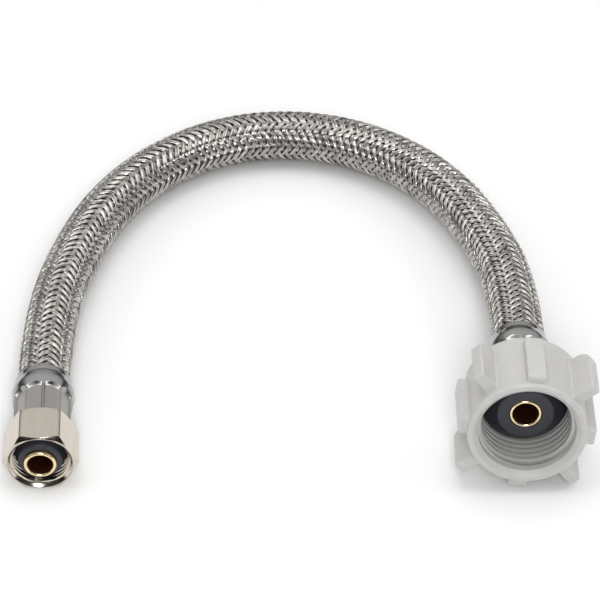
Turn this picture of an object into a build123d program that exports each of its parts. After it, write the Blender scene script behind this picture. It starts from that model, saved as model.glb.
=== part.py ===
from build123d import *
import math
import os

# A braided supply line for a toilet, 12 inches long, lying on a flat surface.
# Millimetres, +Z up. The origin is on that surface, under the middle of the two end fittings.
# Each fitting has a frame: its origin is the centre of the ferrule's mouth, where the free hose
# starts, and its +Z runs out along the fitting to the mouth of the nut.

# ---- Driving dimensions ----

# Corners of the hose's centreline, from the compression end to the ballcock end
ROUTE = [
    (-60.22, 12.62, 7.94),
    (-60.22, 26.65, 7.94),
    (-56.92, 52.95, 7.50),
    (-45.62, 83.35, 6.90),
    (-26.62, 103.25, 6.50),
    (-4.92, 110.35, 6.40),
    (18.58, 105.25, 6.70),
    (38.68, 87.25, 7.80),
    (50.58, 57.95, 10.10),
    (53.58, 35.57, 12.12),
    (53.38, 18.27, 13.94),
]
bend_share = 0.45  # share of the shorter of its two runs that an arc takes up

# Hose: a polymer tube in a stainless braid
hose_d = 12.7
braid_wall = 0.6
tube_bore = 8.0
layer_gap = 0.05  # between the braid and the tube, and the braid and the ferrule

# Brass stems
waterway_d = 6.0
nose_d = 7.7
barb_d = 8.4
barb_depth = 0.35
barb_count = 4
barb_length = 12.0
neck_d = 9.8
groove_depth = 0.35
shoulder_length = 0.6

# Ferrules
ferrule_length = 16.2
ferrule_wall = 0.6
rim_length = 1.8
rim_step = 0.4
bulge_rise = 1.1  # how far the bulge stands out from the hose
bulge_length = 6.0
crimp_flats = 10
fin_start = 14.0  # angle of the first fin
crimp_rise = 0.05  # how far the crimped flats stand out from the hose
crimp_taper = 1.0
fin_rise = 0.65  # how far the fins stand out from the flats
fin_width = 0.55

# Compression end
comp_nut_across = 15.875
comp_nut_length = 11.0
comp_face_d = 15.4  # turned end face, inside the hexagon's corners
comp_chamfer_angle = 30.0
comp_floor = 2.0
comp_thread_d = 13.14  # over the thread's crests
comp_relief_d = 14.3
comp_relief_length = 1.2
comp_lead_in = 0.6
comp_travel = 1.5
comp_collar_d = 12.4
comp_collar_length = 1.2
comp_seal_d = 12.6
comp_seal_nose_d = 10.3
comp_seal_land = 1.8
comp_seal_length = 5.8
comp_nose_reach = 6.8  # how far the stem's nose stands out past the seal's seat

# Ballcock end
ball_nut_d = 28.0
ball_nut_length = 19.7
ball_nut_edge = 0.8
ball_floor = 2.8
ball_thread_d = 21.0  # over the thread's crests
ball_lead_d = 22.8
ball_lead_length = 3.0
ball_mouth_chamfer = 1.2
ball_travel = 1.2
ball_flange_d = 17.0
ball_flange_length = 1.0
ball_washer_d = 20.4
ball_washer_nose_d = 13.2
ball_washer_land = 2.7
ball_washer_length = 6.8
ball_nose_reach = 6.9  # how far the stem's nose stands out past the washer's seat

# Grips round the ballcock nut
wing_angles = [37, 127, 217, 307]
wing_tip_d = 39.25
wing_width = 2.9
wing_length = 14.4
wing_back_corner = 4.0
wing_front_corner = 1.0
wing_edge = 0.6
wing_inset = 1.7  # from the front of each wing to the nut's mouth
rib_angles = [83, 173, 263, 353]
rib_tip_d = 32.07
rib_width = 4.6
rib_length = 15.7
rib_corner = 1.0
rib_edge = 0.6
rib_inset = 1.1  # from the front of each rib to the nut's mouth
grip_root = 1.0  # how deep a grip's root is sunk in the nut's body

# Clearances
nut_gap = 0.1  # between a ferrule and the nut that rests against it
end_gap = 0.1  # left between a nut's floor and the stem's collar at full travel
slide_gap = 0.05  # radial, between a seal and the nose that it slides along
neck_gap = 0.2  # radial, between a nut's floor and the stem's neck

# ---- Frames ----

route = [Vector(*point) for point in ROUTE]


def end_frame(mouth, next_corner):
    """Frame at a ferrule's mouth: +Z points out of the hose and +X runs across."""
    return Plane(origin=mouth, x_dir=(1, 0, 0), z_dir=mouth - next_corner)


def side_plane(frame, angle=0.0):
    """Plane through a frame's axis: its x is the radius at an angle, and its y is the frame's z."""
    turn = math.radians(angle)
    radius = frame.x_dir * math.cos(turn) + frame.y_dir * math.sin(turn)
    return Plane(origin=frame.origin, x_dir=radius, z_dir=radius.cross(frame.z_dir))


def axis_of(frame):
    """A frame's z axis."""
    return Axis(frame.origin, frame.z_dir)


comp_frame = end_frame(route[0], route[1])
ball_frame = end_frame(route[-1], route[-2])

# ---- Places along the fittings, outwards from the ferrule's mouth ----

hose_end = ferrule_length - ferrule_wall - shoulder_length
nut_back = ferrule_length + nut_gap

comp_floor_top = nut_back + comp_floor
comp_collar_back = comp_floor_top + comp_travel + end_gap
comp_seat = comp_collar_back + comp_collar_length
comp_mouth = nut_back + comp_nut_length

ball_floor_top = nut_back + ball_floor
ball_flange_back = ball_floor_top + ball_travel + end_gap
ball_seat = ball_flange_back + ball_flange_length
ball_mouth = nut_back + ball_nut_length

# ---- Radii that follow from the layers ----

hose_r = hose_d / 2
bulge_r = hose_r + bulge_rise
flat_r = hose_r + crimp_rise
fin_r = flat_r + fin_rise
groove_r = neck_d / 2 - groove_depth
braid_inner_r = hose_r - braid_wall
tube_r = braid_inner_r - layer_gap
crimp_inner_r = flat_r - ferrule_wall
crimped_braid_r = crimp_inner_r - layer_gap
crimped_tube_r = crimped_braid_r - braid_wall - layer_gap
crimped_bore_r = barb_d / 2 + layer_gap
crimp_start = bulge_length + crimp_taper
squeeze_start = bulge_length / 2
squeeze_end = bulge_length


# ---- Hose ----


def arc_radii(points):
    """Radius of the arc at each inner corner, from its shorter run and its turn."""
    radii = []
    for before, corner, after in zip(points, points[1:], points[2:]):
        shorter = min((corner - before).length, (after - corner).length)
        turn = (corner - before).get_angle(after - corner)
        radii.append(bend_share * shorter / math.tan(math.radians(turn) / 2))
    return radii


def layer_end(frame, outer, inner, squeezed_outer, squeezed_inner):
    """A hose layer's end inside its ferrule: full size at the mouth, then squeezed by the crimp."""
    with BuildPart() as end:
        with BuildSketch(side_plane(frame)):
            with BuildLine():
                Polyline(
                    (outer, 0),
                    (outer, squeeze_start),
                    (squeezed_outer, squeeze_end),
                    (squeezed_outer, hose_end),
                    (squeezed_inner, hose_end),
                    (squeezed_inner, squeeze_end),
                    (inner, squeeze_start),
                    (inner, 0),
                    close=True,
                )
            make_face()
        revolve(axis=axis_of(frame))
    return end.part


def hose_layer(name, outer, inner, squeezed_outer, squeezed_inner):
    """One layer of the hose, swept along the route between its two ends in the ferrules."""
    sizes = (outer, inner, squeezed_outer, squeezed_inner)
    ends = [layer_end(comp_frame, *sizes), layer_end(ball_frame, *sizes)]
    with BuildPart() as layer:
        with BuildLine() as path:
            FilletPolyline(*route, radius=arc_radii(route))
        with BuildSketch(Plane(origin=route[0], z_dir=route[1] - route[0])):
            Circle(outer)
            Circle(inner, mode=Mode.SUBTRACT)
        sweep(path=path.wires()[0])
        swept = layer.part.volume
        add(ends)
    layer.part.label = name
    length = path.wires()[0].length
    share = swept / (math.pi * (outer**2 - inner**2) * length)
    print(f"{name}: length {length:.1f}, volume over section times length {share:.5f}")
    return layer.part


print("arc radii:", [round(radius, 1) for radius in arc_radii(route)])
braid_sleeve = hose_layer(
    "braid_sleeve", hose_r, braid_inner_r, crimped_braid_r, crimped_tube_r + layer_gap
)
inner_tube = hose_layer("inner_tube", tube_r, tube_bore / 2, crimped_tube_r, crimped_bore_r)

# ---- Ferrules ----


def make_ferrule(name, frame):
    """Crimped ferrule: a rim and a bulge at the hose, then a zone of flats with fins between them."""
    rim_r = hose_r + layer_gap + ferrule_wall
    with BuildPart() as ferrule:
        with BuildSketch(side_plane(frame)):
            with BuildLine():
                Polyline(
                    (0, 0),
                    (rim_r, 0),
                    (rim_r, rim_length),
                    (bulge_r, rim_length + rim_step),
                    (bulge_r, bulge_length),
                    (flat_r, crimp_start),
                    (0, crimp_start),
                    close=True,
                )
            make_face()
        revolve(axis=axis_of(frame))
        with BuildSketch(frame.offset(bulge_length)):
            RegularPolygon(flat_r, crimp_flats, major_radius=False, rotation=fin_start)
            with PolarLocations(0, crimp_flats, start_angle=fin_start):
                with Locations((fin_r / 2, 0)):
                    Rectangle(fin_r, fin_width)
        extrude(amount=ferrule_length - bulge_length)
        with BuildSketch(side_plane(frame)):
            with BuildLine():
                Polyline(
                    (0, 0),
                    (hose_r + layer_gap, 0),
                    (hose_r + layer_gap, rim_length),
                    (bulge_r - ferrule_wall, rim_length + rim_step + ferrule_wall),
                    (bulge_r - ferrule_wall, bulge_length - ferrule_wall),
                    (crimp_inner_r, crimp_start),
                    (crimp_inner_r, ferrule_length - ferrule_wall),
                    (groove_r + layer_gap, ferrule_length - ferrule_wall),
                    (groove_r + layer_gap, ferrule_length),
                    (0, ferrule_length),
                    close=True,
                )
            make_face()
        revolve(axis=axis_of(frame), mode=Mode.SUBTRACT)
    ferrule.part.label = name
    return ferrule.part


compression_ferrule = make_ferrule("compression_ferrule", comp_frame)
ballcock_ferrule = make_ferrule("ballcock_ferrule", ball_frame)

# ---- Brass stems ----


def make_stem(name, frame, collar_back, collar_r, seat, nose_reach):
    """Stem: barbs in the tube, a shoulder and a groove for the ferrule, a neck, a collar and a nose."""
    barb_start = hose_end - barb_length
    barb_pitch = barb_length / barb_count
    barbs = []
    for number in range(barb_count):
        start = barb_start + number * barb_pitch
        barbs += [(barb_d / 2 - barb_depth, start), (barb_d / 2, start + barb_pitch)]
    with BuildPart() as stem:
        with BuildSketch(side_plane(frame)):
            with BuildLine():
                Polyline(
                    (waterway_d / 2, barb_start),
                    *barbs,
                    (neck_d / 2, hose_end),
                    (neck_d / 2, hose_end + shoulder_length),
                    (groove_r, hose_end + shoulder_length),
                    (groove_r, ferrule_length),
                    (neck_d / 2, ferrule_length),
                    (neck_d / 2, collar_back),
                    (collar_r, collar_back),
                    (collar_r, seat),
                    (nose_d / 2, seat),
                    (nose_d / 2, seat + nose_reach),
                    (waterway_d / 2, seat + nose_reach),
                    close=True,
                )
            make_face()
        revolve(axis=axis_of(frame))
    stem.part.label = name
    return stem.part


compression_stem = make_stem(
    "compression_stem", comp_frame, comp_collar_back, comp_collar_d / 2, comp_seat, comp_nose_reach
)
ballcock_stem = make_stem(
    "ballcock_stem", ball_frame, ball_flange_back, ball_flange_d / 2, ball_seat, ball_nose_reach
)

# ---- Rubber seals, which slide on the stems' noses ----


def make_seal(name, frame, seat, land, length, land_r, front_r):
    """Rubber seal: a flat land behind and a cone in front, round the stem's nose."""
    with BuildPart() as seal:
        with BuildSketch(side_plane(frame)):
            with BuildLine():
                Polyline(
                    (nose_d / 2 + slide_gap, seat),
                    (land_r, seat),
                    (land_r, seat + land),
                    (front_r, seat + length),
                    (nose_d / 2 + slide_gap, seat + length),
                    close=True,
                )
            make_face()
        revolve(axis=axis_of(frame))
    seal.part.label = name
    return seal.part


compression_seal = make_seal(
    "compression_seal",
    comp_frame,
    comp_seat,
    comp_seal_land,
    comp_seal_length,
    comp_seal_d / 2,
    comp_seal_nose_d / 2,
)
cone_washer = make_seal(
    "cone_washer",
    ball_frame,
    ball_seat,
    ball_washer_land,
    ball_washer_length,
    ball_washer_d / 2,
    ball_washer_nose_d / 2,
)

# ---- Compression nut ----

floor_hole_r = neck_d / 2 + neck_gap
hex_corner_r = comp_nut_across / 2 / math.cos(math.radians(30))
hex_chamfer = (hex_corner_r - comp_face_d / 2) * math.tan(math.radians(comp_chamfer_angle))

with BuildPart() as compression_nut:
    with BuildSketch(comp_frame.offset(nut_back)):
        RegularPolygon(comp_nut_across / 2, 6, major_radius=False)
    extrude(amount=comp_nut_length)
    # Both ends are turned down to a cone, which rounds off the hexagon's corners
    with BuildSketch(side_plane(comp_frame)):
        with BuildLine():
            Polyline(
                (0, nut_back),
                (comp_face_d / 2, nut_back),
                (hex_corner_r, nut_back + hex_chamfer),
                (hex_corner_r, comp_mouth - hex_chamfer),
                (comp_face_d / 2, comp_mouth),
                (0, comp_mouth),
                close=True,
            )
        make_face()
    revolve(axis=axis_of(comp_frame), mode=Mode.INTERSECT)
    # Hole in the floor, groove behind the thread, thread and lead-in
    with BuildSketch(side_plane(comp_frame)):
        with BuildLine():
            Polyline(
                (0, nut_back),
                (floor_hole_r, nut_back),
                (floor_hole_r, comp_floor_top),
                (comp_relief_d / 2, comp_floor_top),
                (comp_relief_d / 2, comp_floor_top + comp_relief_length),
                (comp_thread_d / 2, comp_floor_top + comp_relief_length),
                (comp_thread_d / 2, comp_mouth - comp_lead_in),
                (comp_thread_d / 2 + comp_lead_in, comp_mouth),
                (0, comp_mouth),
                close=True,
            )
        make_face()
    revolve(axis=axis_of(comp_frame), mode=Mode.SUBTRACT)
compression_nut.part.label = "compression_nut"

# ---- Ballcock nut ----


def make_grip(angle, inset, tip_d, width, length, back_corner, front_corner, edge):
    """A grip that stands out along a radius of the nut, with its outer corners and edges rounded."""
    bottom = ball_nut_d / 2 - grip_root
    front = ball_mouth - inset
    back = front - length
    with BuildPart() as grip:
        with BuildSketch(side_plane(ball_frame, angle)):
            with BuildLine():
                FilletPolyline(
                    (bottom, back),
                    (tip_d / 2, back),
                    (tip_d / 2, front),
                    (bottom, front),
                    radius=[back_corner, front_corner],
                )
                Line((bottom, front), (bottom, back))
            make_face()
        extrude(amount=width / 2, both=True)
        sides = grip.faces().filter_by(Axis(ball_frame.origin, side_plane(ball_frame, angle).z_dir))
        root = sides.edges().filter_by(axis_of(ball_frame)).sort_by_distance(ball_frame.origin)[:2]
        fillet(sides.edges() - root, radius=edge)
    return grip.part


wing_corners = (wing_back_corner, wing_front_corner, wing_edge)
rib_corners = (rib_corner, rib_corner, rib_edge)
wing_sizes = (wing_inset, wing_tip_d, wing_width, wing_length, *wing_corners)
rib_sizes = (rib_inset, rib_tip_d, rib_width, rib_length, *rib_corners)
grips = [make_grip(angle, *wing_sizes) for angle in wing_angles]
grips += [make_grip(angle, *rib_sizes) for angle in rib_angles]

with BuildPart() as ballcock_nut:
    with BuildSketch(side_plane(ball_frame)):
        with BuildLine():
            Polyline(
                (0, nut_back),
                (ball_nut_d / 2 - ball_nut_edge, nut_back),
                (ball_nut_d / 2, nut_back + ball_nut_edge),
                (ball_nut_d / 2, ball_mouth),
                (0, ball_mouth),
                close=True,
            )
        make_face()
    revolve(axis=axis_of(ball_frame))
    add(grips)
    # Hole in the floor, thread, smooth lead-in and a chamfer at the mouth
    with BuildSketch(side_plane(ball_frame)):
        with BuildLine():
            Polyline(
                (0, nut_back),
                (floor_hole_r, nut_back),
                (floor_hole_r, ball_floor_top),
                (ball_thread_d / 2, ball_floor_top),
                (ball_thread_d / 2, ball_mouth - ball_lead_length),
                (ball_lead_d / 2, ball_mouth - ball_lead_length),
                (ball_lead_d / 2, ball_mouth - ball_mouth_chamfer),
                (ball_lead_d / 2 + ball_mouth_chamfer, ball_mouth),
                (0, ball_mouth),
                close=True,
            )
        make_face()
    revolve(axis=axis_of(ball_frame), mode=Mode.SUBTRACT)
ballcock_nut.part.label = "ballcock_nut"

# ---- Files ----

pieces = [
    braid_sleeve,
    inner_tube,
    compression_ferrule,
    ballcock_ferrule,
    compression_stem,
    ballcock_stem,
    compression_seal,
    cone_washer,
    compression_nut.part,
    ballcock_nut.part,
]
os.makedirs("parts", exist_ok=True)
for piece in pieces:
    export_step(piece, f"parts/{piece.label}.step")
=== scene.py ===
"""A braided supply line for a toilet: its visible pieces, their finishes, the light and the camera.

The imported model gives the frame. Every length here is in metres unless its name says otherwise.
Each fitting has its own axes: the origin is the middle of the ferrule's mouth, where the free hose
starts, and the third axis runs out along the fitting to the mouth of its nut.
"""

from __future__ import annotations

import logging
from dataclasses import dataclass, field, replace
from enum import Enum

import bpy
import bmesh
import numpy as np
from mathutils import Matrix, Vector

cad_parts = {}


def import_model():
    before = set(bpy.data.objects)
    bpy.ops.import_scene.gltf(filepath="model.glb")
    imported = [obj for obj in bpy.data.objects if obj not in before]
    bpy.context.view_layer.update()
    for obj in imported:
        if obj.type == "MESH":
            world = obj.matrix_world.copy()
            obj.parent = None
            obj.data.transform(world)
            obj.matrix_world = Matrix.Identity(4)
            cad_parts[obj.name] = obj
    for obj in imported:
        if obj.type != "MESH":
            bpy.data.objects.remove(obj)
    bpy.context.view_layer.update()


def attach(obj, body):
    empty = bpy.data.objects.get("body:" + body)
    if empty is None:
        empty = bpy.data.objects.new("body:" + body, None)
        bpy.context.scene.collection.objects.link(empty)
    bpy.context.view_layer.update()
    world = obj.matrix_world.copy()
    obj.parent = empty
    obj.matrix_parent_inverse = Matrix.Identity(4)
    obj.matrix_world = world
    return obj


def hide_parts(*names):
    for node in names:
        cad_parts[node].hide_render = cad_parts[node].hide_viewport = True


LOG = logging.getLogger("supply_line")
MM = 0.001
TURN = 2.0 * np.pi

Point = tuple[float, float, float]
Band = tuple[np.ndarray, np.ndarray]

# Corners of the hose's centreline, from the compression end to the ballcock end.
ROUTE = [
    (-0.06022, 0.01262, 0.00794),
    (-0.06022, 0.02665, 0.00794),
    (-0.05692, 0.05295, 0.00750),
    (-0.04562, 0.08335, 0.00690),
    (-0.02662, 0.10325, 0.00650),
    (-0.00492, 0.11035, 0.00640),
    (0.01858, 0.10525, 0.00670),
    (0.03868, 0.08725, 0.00780),
    (0.05058, 0.05795, 0.01010),
    (0.05358, 0.03557, 0.01212),
    (0.05338, 0.01827, 0.01394),
]


# ---- Arrays and meshes ----


def unit(vectors: np.ndarray) -> np.ndarray:
    """Vectors divided by their own lengths."""
    return vectors / np.linalg.norm(vectors, axis=-1, keepdims=True)


def grid_quads(rows: int, columns: int, wrap_rows: bool, wrap_columns: bool) -> np.ndarray:
    """Quads of a grid whose points are numbered row by row.

    Args:
        rows: number of rows of points.
        columns: number of points in a row.
        wrap_rows: whether the last row joins the first.
        wrap_columns: whether each row's last point joins its first.

    Returns:
        An array of four point numbers for each quad.
    """
    row = np.arange(rows if wrap_rows else rows - 1)
    column = np.arange(columns if wrap_columns else columns - 1)
    row, column = np.meshgrid(row, column, indexing="ij")
    next_row = (row + 1) % rows
    next_column = (column + 1) % columns
    corners = [row * columns + column, row * columns + next_column]
    corners += [next_row * columns + next_column, next_row * columns + column]
    return np.stack(corners, axis=-1).reshape(-1, 4)


def tube_faces(rows: int, columns: int) -> list[np.ndarray]:
    """Quads of a tube's side, and the two caps that close its ends.

    Args:
        rows: number of rings along the tube.
        columns: number of points in a ring.

    Returns:
        The quads and the caps.
    """
    ring = np.arange(columns)
    caps = np.stack([ring[::-1], ring + (rows - 1) * columns])
    return [grid_quads(rows, columns, False, True), caps]


def arc_outline(corners: list[Point], closed: bool, step_deg: float = 15.0) -> np.ndarray:
    """Outline with each corner rounded by an arc that is tangent to its two sides.

    Args:
        corners: x, y and arc radius of each corner. A radius of 0 keeps it sharp.
        closed: whether the last corner joins the first.
        step_deg: largest turn between two points of an arc.

    Returns:
        Points of the outline, two numbers each.
    """
    spots = np.array([corner[:2] for corner in corners], dtype=float)
    count = len(spots)
    points = []
    for number, (x, y, radius) in enumerate(corners):
        here = np.array([x, y])
        is_end = not closed and number in (0, count - 1)
        if radius <= 0 or is_end:
            points.append(here)
            continue
        back = unit(spots[number - 1] - here)
        ahead = unit(spots[(number + 1) % count] - here)
        half = 0.5 * np.arccos(np.clip(back @ ahead, -1, 1))
        centre = here + unit(back + ahead) * radius / np.sin(half)
        start = here + back * radius / np.tan(half) - centre
        turn = np.pi - 2 * half
        sign = np.sign(start[0] * (here - centre)[1] - start[1] * (here - centre)[0])
        steps = max(2, int(np.ceil(np.degrees(turn) / step_deg)) + 1)
        angle = sign * np.linspace(0, turn, steps)
        arc_x = start[0] * np.cos(angle) - start[1] * np.sin(angle)
        arc_y = start[0] * np.sin(angle) + start[1] * np.cos(angle)
        points += list(centre + np.stack([arc_x, arc_y], axis=-1))
    return np.array(points)


def split_runs(outline: np.ndarray, longest: float, closed: bool) -> np.ndarray:
    """The outline with points added so that no side is longer than a given length.

    Args:
        outline: the outline's points.
        longest: the longest side to leave.
        closed: whether the last point joins the first.

    Returns:
        The new outline.
    """
    pairs = list(zip(outline, np.roll(outline, -1, axis=0)))
    if not closed:
        pairs = pairs[:-1]
    points = []
    for start, end in pairs:
        parts = max(1, int(np.ceil(np.linalg.norm(end - start) / longest)))
        points += [start + (end - start) * part / parts for part in range(parts)]
    if not closed:
        points.append(outline[-1])
    return np.array(points)


def mesh_object(name: str, points: np.ndarray, faces: list[np.ndarray]) -> bpy.types.Object:
    """A mesh object at the origin.

    Args:
        name: the piece's name.
        points: three numbers for each point.
        faces: arrays of faces, each with its own number of corners.

    Returns:
        The object, linked to the scene.
    """
    mesh = bpy.data.meshes.new(name)
    points = np.ascontiguousarray(points, dtype=np.float32).reshape(-1, 3)
    sizes = np.concatenate([np.full(len(array), array.shape[1]) for array in faces])
    corners = np.concatenate([array.ravel() for array in faces])
    starts = np.concatenate([[0], np.cumsum(sizes)[:-1]])
    mesh.vertices.add(len(points))
    mesh.vertices.foreach_set("co", points.ravel())
    mesh.loops.add(len(corners))
    mesh.loops.foreach_set("vertex_index", corners.astype(np.int32))
    mesh.polygons.add(len(sizes))
    mesh.polygons.foreach_set("loop_start", starts.astype(np.int32))
    mesh.polygons.foreach_set("use_smooth", np.ones(len(sizes), dtype=bool))
    mesh.update(calc_edges=True)
    mesh.validate()
    piece = bpy.data.objects.new(name, mesh)
    bpy.context.scene.collection.objects.link(piece)
    return piece


def add_attribute(piece: bpy.types.Object, name: str, values: np.ndarray) -> None:
    """Stores one number for each point of a piece, for its material to read."""
    layer = piece.data.attributes.new(name, "FLOAT", "POINT")
    layer.data.foreach_set("value", np.ascontiguousarray(values, dtype=np.float32).ravel())


def weld(piece: bpy.types.Object, crease_deg: float, distance: float = 2e-7) -> None:
    """Merges a closed surface's doubled points, turns its faces outwards and keeps its creases sharp.

    Args:
        piece: the piece.
        crease_deg: turns of the surface over this angle stay sharp.
        distance: points nearer to each other than this are one.
    """
    shell = bmesh.new()
    shell.from_mesh(piece.data)
    bmesh.ops.remove_doubles(shell, verts=shell.verts, dist=distance)
    bmesh.ops.dissolve_degenerate(shell, edges=shell.edges, dist=distance)
    bmesh.ops.recalc_face_normals(shell, faces=shell.faces)
    shell.to_mesh(piece.data)
    shell.free()
    piece.data.set_sharp_from_angle(angle=np.radians(crease_deg))


@dataclass(frozen=True)
class Axes:
    """Axes of a fitting: its origin, the way across, the way up and the way out along it."""

    origin: np.ndarray
    across: np.ndarray
    up: np.ndarray
    along: np.ndarray

    @staticmethod
    def at_end(mouth: Point, next_corner: Point) -> Axes:
        """Axes at a ferrule's mouth, pointing away from the hose's next corner.

        Args:
            mouth: the middle of the ferrule's mouth.
            next_corner: the route's next corner.

        Returns:
            The axes, whose way across is level.
        """
        along = unit(np.array(mouth) - np.array(next_corner))
        across = unit(np.array([1.0, 0.0, 0.0]) - along * along[0])
        return Axes(np.array(mouth), across, np.cross(along, across), along)

    def place(self, x: np.ndarray, y: np.ndarray, z: np.ndarray) -> np.ndarray:
        """Points of the row's frame for coordinates in these axes."""
        x, y, z = (part[..., None] for part in np.broadcast_arrays(x, y, z))
        return self.origin + x * self.across + y * self.up + z * self.along

    def place_polar(self, radius: np.ndarray, angle: np.ndarray, z: np.ndarray) -> np.ndarray:
        """Points for a radius, an angle from the way across towards the way up, and a place along."""
        return self.place(radius * np.cos(angle), radius * np.sin(angle), z)


def turned_piece(
    name: str,
    axes: Axes,
    outline: np.ndarray,
    columns: int,
    crease_deg: float,
    marks: dict[str, np.ndarray],
) -> bpy.types.Object:
    """A turned piece: a closed outline of radius and place along, carried round the axis.

    Args:
        name: the piece's name.
        axes: the fitting's axes.
        outline: radius and place along for each point of the closed outline.
        columns: number of points round the axis.
        crease_deg: turns of the surface over this angle stay sharp.
        marks: attributes for the material, one number for each point of the outline.

    Returns:
        The piece.
    """
    angle = np.arange(columns) * TURN / columns
    points = axes.place_polar(outline[:, 0, None], angle[None, :], outline[:, 1, None])
    piece = mesh_object(name, points, [grid_quads(len(outline), columns, True, True)])
    for mark, values in marks.items():
        add_attribute(piece, mark, np.repeat(values, columns))
    weld(piece, crease_deg)
    return piece


def soft_step(value: np.ndarray) -> np.ndarray:
    """0 below 0, 1 above 1, and a smooth rise between."""
    kept = np.clip(value, 0.0, 1.0)
    return kept * kept * (3.0 - 2.0 * kept)


# ---- Shader building ----


class Graph:
    """A node tree with short ways to add and join nodes."""

    def __init__(self, tree: bpy.types.NodeTree) -> None:
        """Keeps the tree."""
        self.tree = tree

    def add(self, kind: str, **settings: object) -> bpy.types.Node:
        """Adds a node and sets its own properties.

        Args:
            kind: the node's type.
            **settings: its properties by name.

        Returns:
            The node.
        """
        node = self.tree.nodes.new(kind)
        for key, value in settings.items():
            setattr(node, key, value)
        return node

    def join(self, source: bpy.types.NodeSocket, target: bpy.types.NodeSocket) -> None:
        """Links an output to an input."""
        self.tree.links.new(source, target)

    def math(
        self, operation: str, first: object, second: object = None, clamp: bool = False
    ) -> bpy.types.NodeSocket:
        """A Math node. Each of its inputs is a number or an output.

        Args:
            operation: the node's operation.
            first: first input.
            second: second input, if the operation has one.
            clamp: whether the result is kept between 0 and 1.

        Returns:
            The node's output.
        """
        node = self.add("ShaderNodeMath", operation=operation, use_clamp=clamp)
        for number, value in enumerate((first, second)):
            if isinstance(value, bpy.types.NodeSocket):
                self.join(value, node.inputs[number])
            elif value is not None:
                node.inputs[number].default_value = value
        return node.outputs[0]

    def blend(self, factor: bpy.types.NodeSocket, first: object, second: object) -> bpy.types.NodeSocket:
        """A colour between two colours.

        Args:
            factor: how much of the second colour is taken.
            first: first colour, a tuple or an output.
            second: second colour, a tuple or an output.

        Returns:
            The mixed colour's output.
        """
        node = self.add("ShaderNodeMix", data_type="RGBA")
        self.join(factor, node.inputs["Factor"])
        for socket, value in ((node.inputs[6], first), (node.inputs[7], second)):
            if isinstance(value, bpy.types.NodeSocket):
                self.join(value, socket)
            else:
                socket.default_value = (*value, 1.0)
        return node.outputs[2]

    def span(
        self, value: bpy.types.NodeSocket, low: float, high: float, start: float = 0.0, end: float = 1.0
    ) -> bpy.types.NodeSocket:
        """A value carried from one range to another, and kept in it.

        Args:
            value: the output to carry over.
            low: what the start of its range becomes.
            high: what the end of its range becomes.
            start: start of its range.
            end: end of its range.

        Returns:
            The new value's output.
        """
        node = self.add("ShaderNodeMapRange", clamp=True)
        self.join(value, node.inputs["Value"])
        for name, number in (("From Min", start), ("From Max", end), ("To Min", low), ("To Max", high)):
            node.inputs[name].default_value = number
        return node.outputs["Result"]


class Effect(Enum):
    """Shader groups that several finishes share."""

    MOTTLE = "mottle"
    STREAKS = "streaks"


def effect_group(effect: Effect) -> bpy.types.NodeTree:
    """The shader group for an effect, built the first time that it is asked for.

    Mottle is cloud noise in all directions. Streaks is the same noise drawn out along one axis, as
    machining and drawing leave it. Both put out a value from 0 to 1 and a fine height.

    Args:
        effect: the effect.

    Returns:
        The group's node tree.
    """
    if effect.value in bpy.data.node_groups:
        return bpy.data.node_groups[effect.value]
    tree = bpy.data.node_groups.new(effect.value, "ShaderNodeTree")
    sockets = [("Vector", "INPUT", "Vector"), ("Scale", "INPUT", "Float"), ("Stretch", "INPUT", "Vector")]
    sockets += [("Value", "OUTPUT", "Float"), ("Height", "OUTPUT", "Float")]
    for name, way, kind in sockets:
        tree.interface.new_socket(name, in_out=way, socket_type=f"NodeSocket{kind}")
    graph = Graph(tree)
    inputs = graph.add("NodeGroupInput")
    outputs = graph.add("NodeGroupOutput")
    stretched = graph.add("ShaderNodeVectorMath", operation="MULTIPLY")
    graph.join(inputs.outputs["Vector"], stretched.inputs[0])
    graph.join(inputs.outputs["Stretch"], stretched.inputs[1])
    coarse = graph.add("ShaderNodeTexNoise")
    coarse.inputs["Detail"].default_value = 4.0 if effect is Effect.MOTTLE else 2.0
    coarse.inputs["Roughness"].default_value = 0.6
    fine = graph.add("ShaderNodeTexNoise")
    fine.inputs["Detail"].default_value = 2.0
    for noise in (coarse, fine):
        graph.join(stretched.outputs[0], noise.inputs["Vector"])
    graph.join(inputs.outputs["Scale"], coarse.inputs["Scale"])
    graph.join(graph.math("MULTIPLY", inputs.outputs["Scale"], 5.0), fine.inputs["Scale"])
    graph.join(graph.span(coarse.outputs["Fac"], 0.0, 1.0, 0.3, 0.7), outputs.inputs["Value"])
    graph.join(graph.span(fine.outputs["Fac"], 0.0, 1.0, 0.25, 0.75), outputs.inputs["Height"])
    return tree


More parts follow.
